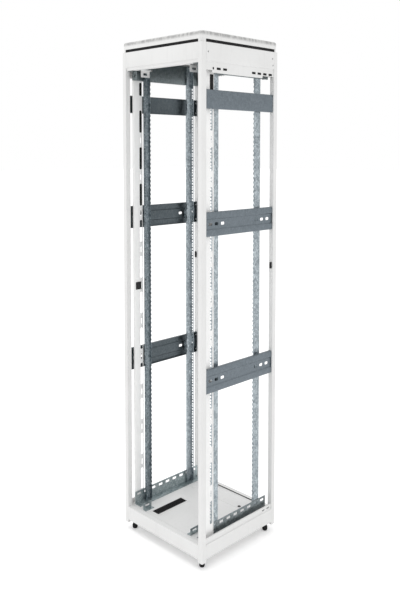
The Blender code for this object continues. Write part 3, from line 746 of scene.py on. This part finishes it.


def slotted_panel(side):
    """A tall painted channel behind a front post, with long rounded slots at its rear edge."""
    node = f"slotted_panel_front_{side}"
    low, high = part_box(node)
    hand = SIDE_SIGN[side]
    web = hand * min(abs(low.x), abs(high.x))
    path = [(web + hand * PANEL_FLANGE, low.y), (web, low.y),
            (web, high.y), (web + hand * PANEL_RETURN, high.y)]
    if hand > 0:
        path.reverse()
    shape = bmesh.new()
    add_prism(shape, sheet_outline(path, PAINTED_SHEET, 0.0006), low.z, high.z)
    piece = new_piece(node + "_sheet", shape)
    inset = HALF_W - abs(web)
    through = (inset - 0.003, inset + 0.002)
    rear = high.y + HALF_D
    tool = bmesh.new()
    starts = [PANEL_SLOT_START + PANEL_SLOT_PITCH * i for i in range(PANEL_SLOTS)]
    slots = [(start, start + PANEL_SLOT_TALL) for start in starts]
    slots.append(PANEL_TOP_SLOT)
    for height in slots:
        add_slot(tool, *side_range(side, through, (rear - 0.020, rear - 0.004), height),
                 0, 0.007)
    low_end, high_end = PANEL_SMALL_SLOT
    for start in starts[:-1]:
        height = (start + low_end, start + high_end)
        add_slot(tool, *side_range(side, through, (rear - 0.016, rear - 0.009), height),
                 0, 0.0034)
    carve(piece, tool)
    # The panel takes the lighter copy of the grey coat, painted light.
    finish_piece(piece, LIT_PANEL_PAINT, nodes=(node,))
    # Black sheets behind the upper slots are painted shade, so that the slots read dark.
    shade_sheet = bmesh.new()
    behind = (inset - PAINTED_SHEET - 0.0015, inset - PAINTED_SHEET - 0.0003)
    for bottom, top in slots[-SHADE_BACKED_SLOTS[side]:]:
        add_slot(shade_sheet, *side_range(side, behind, (rear - 0.023, rear - 0.0022),
                                      (bottom - 0.004, top + 0.004)), 0, 0.003)
    finish_piece(new_piece(f"slotted_panel_painted_shade_{side}", shade_sheet), RUBBER_AND_SHADE)


# ---- roof

ROOF_SKIRT = 0.037              # height of the roof pan
ROOF_CORNER = 0.022
ROOF_EDGE = 0.012
SPACER_INSET = (0.0005, 0.0027)
SPACER_REACH = 0.025            # how far the spacers run along the roof from a corner


def roof_cover():
    """The roof pan, pressed with round corners, with the tabs that hold it up."""
    shape = bmesh.new()
    centre = (ROOF_LOW + ROOF_HIGH) / 2
    pan_low = ROOF_HIGH.z - ROOF_SKIRT
    size = Matrix.Diagonal((WIDTH, DEPTH, ROOF_HIGH.z - pan_low, 1))
    middle = Matrix.Translation((centre.x, centre.y, (pan_low + ROOF_HIGH.z) / 2))
    bmesh.ops.create_cube(shape, size=1, matrix=middle @ size)
    upright_edges = [e for e in shape.edges if abs(e.verts[0].co.z - e.verts[1].co.z) > 0.001]
    bmesh.ops.bevel(shape, geom=upright_edges, offset=ROOF_CORNER, segments=12, profile=0.5,
                    affect="EDGES")
    top_edges = [e for e in shape.edges if all(v.co.z > ROOF_HIGH.z - 0.0001 for v in e.verts)]
    bmesh.ops.bevel(shape, geom=top_edges, offset=ROOF_EDGE, segments=7, profile=0.5,
                    affect="EDGES")
    bottom = [f for f in shape.faces if f.normal.z < -0.9]
    bmesh.ops.delete(shape, geom=bottom, context="FACES_ONLY")
    piece = as_piece("roof_cover_pan", shape)
    wall = piece.modifiers.new("Sheet", "SOLIDIFY")
    wall.thickness = ZINC_SHEET
    wall.offset = -1
    wall.use_even_offset = True
    settle(piece)
    carve(piece, roof_spacers(pan_low + 0.004), "UNION")
    finish_piece(piece, ROOF_PAINT, nodes=("roof_cover",))


def roof_ring(inset):
    """Outline of the roof pan set in by a distance."""
    half = Vector((HALF_W - inset, HALF_D - inset))
    return rounded_outline(rectangle(-half, half), [ROOF_CORNER - inset] * 4, 8)


def roof_spacers(top):
    """Curved feet at the four corners of the roof pan, cut from one ring."""
    outer, inner = SPACER_INSET
    ring = bmesh.new()
    add_tube(ring, roof_ring(outer), roof_ring(inner), ROOF_LOW.z, top)
    piece = new_piece("spacers", ring)
    for clear_x, clear_y in ((HALF_W - SPACER_REACH, WIDTH), (WIDTH, HALF_D - SPACER_REACH)):
        gap = bmesh.new()
        add_slot(gap, Vector((-clear_x, -clear_y, ROOF_LOW.z - 0.01)),
                 Vector((clear_x, clear_y, top + 0.01)), 2, 0.001, 1)
        carve(piece, gap)
    spacers = bmesh.new()
    spacers.from_mesh(piece.data)
    bpy.data.objects.remove(piece)
    return spacers


def along_loop(outline, pitch):
    """Evenly spaced places and directions along a closed outline."""
    places = []
    carried = 0.0
    for a, b in zip(outline, outline[1:] + outline[:1]):
        run = (b - a).length
        direction = (b - a).normalized()
        while carried < run:
            places.append((a + direction * carried, direction))
            carried += pitch
        carried -= run
    return places


def vent_strip():
    """The black grille round the ventilation gap: two bands joined by many small bars."""
    node = "roof_vent_strip"
    low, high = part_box(node)
    inset = HALF_W - high.x
    wide = 0.0025
    outline = roof_ring(inset)
    inner = roof_ring(inset + wide)
    band = 0.0014
    shape = bmesh.new()
    add_tube(shape, outline, inner, low.z, low.z + band)
    add_tube(shape, outline, inner, high.z - band, high.z)
    for place, direction in along_loop(roof_ring(inset + wide / 2), 0.0048):
        turn = Matrix(((direction.x, -direction.y, 0), (direction.y, direction.x, 0),
                       (0, 0, 1))).to_4x4()
        matrix = Matrix.Translation((place.x, place.y, 0)) @ turn
        bar = rectangle((-0.0012, -wide * 0.4), (0.0012, wide * 0.4))
        add_prism(shape, bar, low.z + band * 0.6, high.z - band * 0.6, matrix)
    finish_piece(new_piece(node + "_grille", shape), PLASTIC, nodes=(node,))
    liner = bmesh.new()
    add_tube(liner, roof_ring(inset + 0.0045), roof_ring(inset + 0.0058), low.z, high.z)
    finish_piece(new_piece("roof_vent_filter", liner), RUBBER_AND_SHADE)


# ---- rails

RAIL_WEB = 0.006
RAIL_EDGE = 0.020
RAIL_RIB = 0.004
RAIL_RIB_TALL = (0.044, 0.052)  # height of the rib at its crest and at its root
RAIL_SLOT = (0.024, 0.014)
RAIL_SLOT_START = 0.052
RAIL_SLOT_PITCH = 0.041
TAB_INSET = 0.000025            # keeps the end tabs off the channel's own end faces


def side_rail(level, side):
    """A channel between two posts, with a slotted rib on two of the levels, and its bolts."""
    node = f"side_rail_{level}_{side}"
    low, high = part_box(node)
    web = RAIL_WEB
    middle = (low.z + high.z) / 2
    path = [(RAIL_EDGE, high.z), (web, high.z)]
    if level != "upper":
        rib = web + RAIL_RIB
        crest, root = (tall / 2 for tall in RAIL_RIB_TALL)
        path += [(web, middle + root), (rib, middle + crest),
                 (rib, middle - crest), (web, middle - root)]
    path += [(web, low.z), (RAIL_EDGE, low.z)]
    piece = folded(node + "_channel", side, path, ZINC_SHEET, low.y, high.y)
    tabs = bmesh.new()
    across = (web + ZINC_SHEET / 2, RAIL_EDGE)
    height = (low.z + ZINC_SHEET / 2, high.z - ZINC_SHEET / 2)
    front = low.y + HALF_D + TAB_INSET
    rear = high.y + HALF_D - TAB_INSET
    for depth in ((front, front + ZINC_SHEET), (rear - ZINC_SHEET, rear)):
        add_slot(tabs, *side_range(side, across, depth, height), 1, 0.0004, 2)
    carve(piece, tabs, "UNION")
    if level != "upper":
        tool = bmesh.new()
        long, tall = RAIL_SLOT
        height = (middle - tall / 2, middle + tall / 2)
        through = (web - 0.002, rib + ZINC_SHEET + 0.002)
        for i in range(3):
            start = RAIL_SLOT_START + RAIL_SLOT_PITCH * i
            for depth in ((start, start + long), (DEPTH - start - long, DEPTH - start)):
                add_slot(tool, *side_range(side, through, depth, height), 0, 0.005)
        carve(piece, tool)
    # The rail takes its side's copy of the zinc: painted shade on the left, painted light on the
    # right.
    finish_piece(piece, RAIL_ZINC_LIT_AND_SHADED[side], nodes=(node,))
    heads = bmesh.new()
    inboard = (web + RAIL_EDGE) / 2 + 0.0015
    for depth, facing in ((front + ZINC_SHEET, 1), (rear - ZINC_SHEET, -1)):
        for z in (low.z + 0.016, high.z - 0.016):
            place = Vector((SIDE_SIGN[side] * (HALF_W - inboard), depth - HALF_D, z))
            add_hexagon_head(heads, place, (0, facing, 0), 0.0034, 0.0040)
    finish_piece(new_piece(f"side_rail_bolts_{level}_{side}", heads), BOLT_ZINC)


def softened_nodes():
    """Nodes whose CAD shape is right: the same sheets with softened edges."""
    for side in SIDES:
        for place in ("top", "base"):
            node = f"{place}_depth_rail_{side}"
            piece = copied_node(node, 0.0004)
            # Base depth rails take their side's copy of the base zinc: painted light on the
            # left, painted shade on the right.
            surface = SLATE_ZINC if place == "top" else BASE_ZINC_LIT_AND_SHADED[side]
            finish_piece(piece, surface, nodes=(node,))
    deck = copied_node("roof_deck", 0.0004)
    finish_piece(deck, SLATE_ZINC, nodes=("roof_deck",))
    for node in ("floor_panel_front", "floor_panel_rear", "brush_frame"):
        piece = copied_node(node, 0.0005)
        finish_piece(piece, PAINT, nodes=(node,))


# ---- uprights

FIRST_UNIT = 0.190
RACK_UNITS = 47
HOLE_PITCHES = (0.00635, 0.022225, 0.0381)
SQUARE_HOLE = 0.0095
HOLE_COLUMNS = 0.465            # between the hole columns of two uprights
REAR_LIP = 0.012
SCALLOP_DEEP = 0.0035
SCALLOP_TALL = 0.013


def upright(end, side):
    """A C-section with three square holes for each rack unit and a scalloped rear lip."""
    node = f"upright_{end}_{side}"
    low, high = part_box(node)
    hand = SIDE_SIGN[side]
    facing = END_SIGN[end]
    xs = (low.x, high.x) if hand > 0 else (high.x, low.x)
    face_y, back_y = (low.y, high.y) if facing < 0 else (high.y, low.y)
    lip_x = xs[1] - hand * REAR_LIP
    path = [(xs[0], face_y), (xs[1], face_y), (xs[1], back_y), (lip_x, back_y)]
    if hand * facing > 0:
        path.reverse()
    shape = bmesh.new()
    add_prism(shape, sheet_outline(path, ZINC_SHEET), low.z, high.z)
    piece = new_piece(node + "_section", shape)
    tool = bmesh.new()
    half = SQUARE_HOLE / 2
    x = hand * HOLE_COLUMNS / 2
    for unit in range(RACK_UNITS):
        for pitch in HOLE_PITCHES:
            z = FIRST_UNIT + unit * RACK_UNIT + pitch
            hole_low = Vector((x - half, face_y - 0.004, z - half))
            hole_high = Vector((x + half, face_y + 0.004, z + half))
            add_slot(tool, hole_low, hole_high, 1, 0.0006, 2)
    for notch in range(2 * RACK_UNITS):
        z = FIRST_UNIT + (notch + 0.5) * RACK_UNIT / 2
        ends = sorted((lip_x - hand * SCALLOP_DEEP, lip_x + hand * SCALLOP_DEEP))
        slot_low = Vector((ends[0], back_y - 0.004, z - SCALLOP_TALL / 2))
        slot_high = Vector((ends[1], back_y + 0.004, z + SCALLOP_TALL / 2))
        add_slot(tool, slot_low, slot_high, 1, SCALLOP_DEEP * 0.95)
    carve(piece, tool)
    # Every upright but the front left one takes the lighter zinc copy as painted light.
    surface = ZINC if (end, side) == (FRONT, LEFT) else LIT_ZINC
    finish_piece(piece, surface, body=node, nodes=(node,))
    for level in ("middle", "lower"):
        upright_bracket(level, end, side, node)


def upright_bracket(level, end, side, body):
    """A folded clip between an upright and a side rail, with its bolts."""
    node = f"upright_bracket_{level}_{end}_{side}"
    low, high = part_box(node)
    hand = SIDE_SIGN[side]
    facing = END_SIGN[end]
    near_x, far_x = (low.x, high.x) if hand > 0 else (high.x, low.x)
    face_y, back_y = (low.y, high.y) if facing < 0 else (high.y, low.y)
    path = [(far_x, face_y), (near_x, face_y), (near_x, back_y), (far_x, back_y)]
    if hand * facing < 0:
        path.reverse()
    shape = bmesh.new()
    add_prism(shape, sheet_outline(path, ZINC_SHEET), low.z, high.z)
    middle_z = (low.z + high.z) / 2
    middle_x = (near_x + far_x) / 2 + hand * 0.001
    for z in (middle_z - 0.017, middle_z + 0.017):
        add_hexagon_head(shape, Vector((middle_x, back_y, z)), (0, -facing, 0), 0.0033, 0.0034)
    finish_piece(new_piece(node + "_clip", shape), ZINC, body=body, nodes=(node,))


# ---- small parts


def latch_keeper(end, side):
    """A black moulded keeper with softened edges and a latch pocket."""
    node = f"latch_keeper_{end}_{side}"
    low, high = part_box(node)
    shape = bmesh.new()
    axis = 0 if end == FRONT else 1
    across = 1 - axis
    add_slot(shape, low, high, axis, 0.0022, 5)
    piece = new_piece(node + "_block", shape)
    facing = -SIDE_SIGN[side] if end == FRONT else -1
    pocket_low = low.copy()
    pocket_high = high.copy()
    for i, share in ((across, 0.28), (2, 0.25)):
        margin = share * (high[i] - low[i])
        pocket_low[i] += margin
        pocket_high[i] -= margin
    if facing > 0:
        pocket_low[axis] = high[axis] - 0.0012
        pocket_high[axis] = high[axis] + 0.001
    else:
        pocket_high[axis] = low[axis] + 0.0012
        pocket_low[axis] = low[axis] - 0.001
    pocket = bmesh.new()
    add_slot(pocket, pocket_low, pocket_high, axis, 0.0012)
    carve(piece, pocket)
    soften(piece, 0.0004)
    finish_piece(piece, PLASTIC, nodes=(node,))


def add_bristle(shape, root, tip, wide):
    """One thin tapered bristle."""
    run = (tip - root).normalized()
    across = run.cross(UP).normalized() * wide
    rise = UP * wide
    base = [root - across, root - rise, root + across, root + rise]
    end = [tip - across * 0.5, tip - rise * 0.5, tip + across * 0.5, tip + rise * 0.5]
    add_rings(shape, [base, end])


def brush_row(side):
    """A row of bristles held in a thin channel."""
    node = f"brush_row_{side}"
    low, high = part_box(node)
    shape = bmesh.new()
    inward = -SIDE_SIGN[side]
    root_x, tip_x = (low.x, high.x) if inward > 0 else (high.x, low.x)
    holder = 0.0045
    xs = sorted((root_x, root_x + inward * holder))
    add_slot(shape, Vector((xs[0], low.y, low.z)), Vector((xs[1], high.y, high.z)), 1, 0.0005, 2)
    pitch = 0.0010
    count = int((high.y - low.y) / pitch) - 1
    for layer in range(3):
        z = low.z + (high.z - low.z) * (0.28 + 0.22 * layer)
        for i in range(count):
            y = low.y + pitch * (i + 0.75 + 0.25 * layer) + random.uniform(-0.0001, 0.0001)
            root = Vector((root_x + inward * holder * 0.9, y, z))
            stray = random.uniform(-0.0005, 0.0005)
            tip_y = min(max(y + stray, low.y + 0.0003), high.y - 0.0003)
            tip = Vector((tip_x + inward * random.uniform(0.0025, 0.0042), tip_y,
                          z - random.uniform(0.0, 0.0006)))
            add_bristle(shape, root, tip, 0.00035)
    flap_xs = sorted((root_x + inward * holder * 0.5, tip_x + inward * 0.0028))
    add_slot(shape, Vector((flap_xs[0], low.y + 0.0004, low.z + 0.0002)),
             Vector((flap_xs[1], high.y - 0.0004, low.z + 0.0006)), 2, 0.0005, 2)
    finish_piece(new_piece(node + "_bristles", shape), BRISTLE, nodes=(node,))


THREAD_PITCH = 0.00175
NUT_LEAD = 0.0008               # widening of a nut's bore at its faces
THREAD_DEPTH = 0.0008


def foot(end, side):
    """A rubber-covered pad, its threaded stem and the lock nut on the corner plate."""
    tag = f"{end}_{side}"
    low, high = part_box(f"foot_pad_{tag}")
    centre = plan_centre(low, high)
    radius = (high.x - low.x) / 2
    top = high.z
    place = Matrix.Translation(centre)
    shape = bmesh.new()
    profile = [(radius - 0.0042, 0), (radius - 0.0028, 0.0006), (radius - 0.0014, 0.0028),
               (radius - 0.0004, 0.0060), (radius, 0.0095), (radius, top - 0.0130),
               (radius - 0.0005, top - 0.0095), (radius - 0.0016, top - 0.0060),
               (radius - 0.0034, top - 0.0030), (radius - 0.0052, top - 0.0012),
               (radius - 0.0070, top - 0.0003), (radius - 0.0080, top)]
    add_turned(shape, profile, 40, place)
    finish_piece(new_piece(f"foot_pad_{tag}_rubber", shape),
                 RUBBER_AND_SHADE, body=f"foot_pad_{tag}", nodes=(f"foot_pad_{tag}",))
    stem_low, stem_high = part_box(f"foot_stem_{tag}")
    stem_radius = (stem_high.x - stem_low.x) / 2
    shape = bmesh.new()
    steps = 18
    per_turn = 5
    height = stem_high.z - stem_low.z
    count = int(height / THREAD_PITCH * per_turn)
    rings = []
    for k in range(count + 1):
        z = stem_low.z + height * k / count
        ring = []
        for i in range(steps):
            phase = ((z - stem_low.z) / THREAD_PITCH - i / steps) % 1.0
            depth = THREAD_DEPTH * (1 - abs(2 * phase - 1))
            if k in (0, count):
                depth = THREAD_DEPTH
            angle = 2 * math.pi * i / steps
            r = stem_radius - depth
            ring.append(centre + Vector((r * math.cos(angle), r * math.sin(angle), z)))
        rings.append(ring)
    add_rings(shape, rings)
    finish_piece(new_piece(f"foot_stem_{tag}_thread", shape),
                 THREAD, body=f"foot_stem_{tag}", nodes=(f"foot_stem_{tag}",))
    nut_low, nut_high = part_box(f"foot_nut_{tag}")
    flat = (nut_high.x - nut_low.x) / 2
    corner = flat / math.cos(math.pi / 6)
    shape = bmesh.new()
    tall = nut_high.z - nut_low.z
    bore = stem_radius + 0.0005
    outside = ((flat * 0.97, 0.0), (corner, tall * 0.10), (corner, tall * 0.90),
               (flat * 0.97, tall), (bore + NUT_LEAD, tall))
    rings = hexagon_rings(flat, outside)
    chamfer = 0.0007
    for radius, z in ((bore, tall - chamfer), (bore, chamfer), (bore + NUT_LEAD, 0)):
        rings.append(ring_at(z, circle(radius, ROUND_STEPS)))
    matrix = Matrix.Translation(centre + Vector((0, 0, nut_low.z)))
    add_rings(shape, rings, matrix, closed_tube=True)
    finish_piece(new_piece(f"foot_nut_{tag}_hexagon", shape),
                 BOLT_ZINC, nodes=(f"foot_nut_{tag}",))


CLIP_X = (0.150, 0.173)         # foot and lip of the clips, from the middle
CLIP_Y = (-0.235, -0.180)
CLIP_TALL = 0.034
CLIP_SLOT = (0.010, 0.028, 0.012)


def slotted_clip(name, side, base, rise, surface):
    """A slotted angle near a front corner: its lip stands up or hangs down from its foot."""
    foot_x, lip_x = (SIDE_SIGN[side] * x for x in CLIP_X)
    path = [(lip_x, base + rise), (lip_x, base), (foot_x, base)]
    if SIDE_SIGN[side] * rise > 0:
        path.reverse()
    shape = bmesh.new()
    upright_frame = Matrix.Rotation(math.pi / 2, 4, "X")
    add_prism(shape, sheet_outline(path, ZINC_SHEET), -CLIP_Y[1], -CLIP_Y[0], upright_frame)
    clip = new_piece(name, shape)
    middle = Vector((lip_x, sum(CLIP_Y) / 2, base + rise * 0.56))
    half = Vector(CLIP_SLOT) / 2
    opening = bmesh.new()
    add_slot(opening, middle - half, middle + half, 0, 0.004)
    carve(clip, opening)
    finish_piece(clip, surface)


def clips(side):
    """The clips on the floor and under the front fascia."""
    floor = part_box("floor_panel_front")[1].z + 0.0001
    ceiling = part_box("top_rail_front")[0].z - 0.0001
    # The floor clips take the lighter copy of the base zinc, painted light.
    slotted_clip(f"floor_clip_{side}", side, floor, CLIP_TALL, BASE_ZINC_LIT_AND_SHADED[LEFT])
    slotted_clip(f"ceiling_clip_{side}", side, ceiling, -CLIP_TALL, PAINT)


FLOOR_PLUG = (0.148, 0.138)


def floor_fittings():
    """A blanking plug in the floor, and a black strip along the floor's rear edge as painted
    shade.
    """
    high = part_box("floor_panel_front")[1]
    shape = bmesh.new()
    plug = [(0.0085, 0.0001), (0.0085, 0.0008), (0.0078, 0.0016), (0.0060, 0.0021),
            (0.0045, 0.0015), (0.0030, 0.0014)]
    add_turned(shape, plug, 32, Matrix.Translation((*FLOOR_PLUG, high.z)))
    finish_piece(new_piece("floor_plug", shape), PLASTIC)
    rear_low, rear_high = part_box("floor_panel_rear")
    # A black strip on the rear floor panel, painted shade where the rear lip's shadow falls.
    shape = bmesh.new()
    gap_shade_low = Vector((rear_low.x + 0.03, rear_high.y - 0.0065, rear_high.z + 0.0001))
    gap_shade_high = Vector((rear_high.x - 0.03, rear_high.y - 0.0015, rear_high.z + 0.0028))
    add_slot(shape, gap_shade_low, gap_shade_high, 0, 0.0012)
    finish_piece(new_piece("floor_gap_painted_shade", shape), RUBBER_AND_SHADE)


# ---- the rack


def dress_rack():
    """Make every visible piece."""
    for end in ENDS:
        end_fascia(end)
        end_skirt(end)
        for side in SIDES:
            corner_post(end, side)
            upright(end, side)
            foot(end, side)
            latch_keeper(end, side)
    for side in SIDES:
        side_fascia(side)
        side_skirt(side)
        slotted_panel(side)
        clips(side)
        brush_row(side)
        for level in ("upper", "middle", "lower"):
            side_rail(level, side)
    softened_nodes()
    roof_cover()
    vent_strip()
    floor_fittings()


# ---- studio

FLOOR_REACH = 60.0
FLOOR_GLOW = 0.22               # lifts the floor to the white of the background
OVERHEAD = ((-0.7, -0.7, 5.2), (0, 0, 0.5), 3.0, 48)    # place, target, size and power
VIEW_AZIMUTH = math.radians(45.04)
VIEW_PITCH = math.radians(3.52)
VIEW_DISTANCE = 3.549
VIEW_SIDEWAYS = 0.0011
VIEW_HEIGHT = 1.943
VIEW_LENS = 42.56
VIEW_SHIFT = -0.175


def studio_floor():
    """A wide pale floor."""
    shape = bmesh.new()
    bmesh.ops.create_grid(shape, x_segments=8, y_segments=8, size=FLOOR_REACH)
    floor = as_piece("studio_floor", shape)
    surface, tree, shader, place = new_surface("pale_floor")
    drift = noise(tree, place, 1.5, 3.0)
    color = ramp(tree, drift, ((0.3, (0.93, 0.93, 0.93)), (0.7, (0.95, 0.95, 0.95))))
    tree.links.new(color, shader.inputs["Base Color"])
    shader.inputs["Roughness"].default_value = 0.9
    shader.inputs["Specular IOR Level"].default_value = 0.1
    shader.inputs["Emission Color"].default_value = (1, 1, 1, 1)
    shader.inputs["Emission Strength"].default_value = FLOOR_GLOW
    floor.data.materials.append(surface)


def studio_world():
    """Even white light from everywhere."""
    world = bpy.data.worlds.new("studio")
    bpy.context.scene.world = world
    world.use_nodes = True
    background = world.node_tree.nodes["Background"]
    background.inputs["Color"].default_value = (1, 1, 1, 1)
    background.inputs["Strength"].default_value = 1.0


def area_light(name, place, target, size, power):
    """A square soft light aimed at a point."""
    light = bpy.data.lights.new(name, "AREA")
    light.size = size
    light.energy = power
    lamp = linked(name, light)
    lamp.location = place
    aim = Vector(target) - Vector(place)
    lamp.rotation_euler = aim.to_track_quat("-Z", "Y").to_euler()


def studio_camera():
    """The camera, high up, in front of the near corner."""
    camera = bpy.data.cameras.new("camera")
    camera.lens = VIEW_LENS
    camera.sensor_width = 36
    camera.shift_y = VIEW_SHIFT
    rig = linked("camera", camera)
    forward = Vector((-math.sin(VIEW_AZIMUTH), math.cos(VIEW_AZIMUTH), 0))
    right = Vector((math.cos(VIEW_AZIMUTH), math.sin(VIEW_AZIMUTH), 0))
    rig.location = right * VIEW_SIDEWAYS - forward * VIEW_DISTANCE + UP * VIEW_HEIGHT
    rig.rotation_euler = (math.pi / 2 - VIEW_PITCH, 0, VIEW_AZIMUTH)
    bpy.context.scene.camera = rig


def set_studio():
    """Floor, light and camera."""
    bpy.context.scene.view_settings.view_transform = "Standard"
    studio_floor()
    studio_world()
    area_light("overhead", *OVERHEAD)
    studio_camera()


dress_rack()
set_studio()
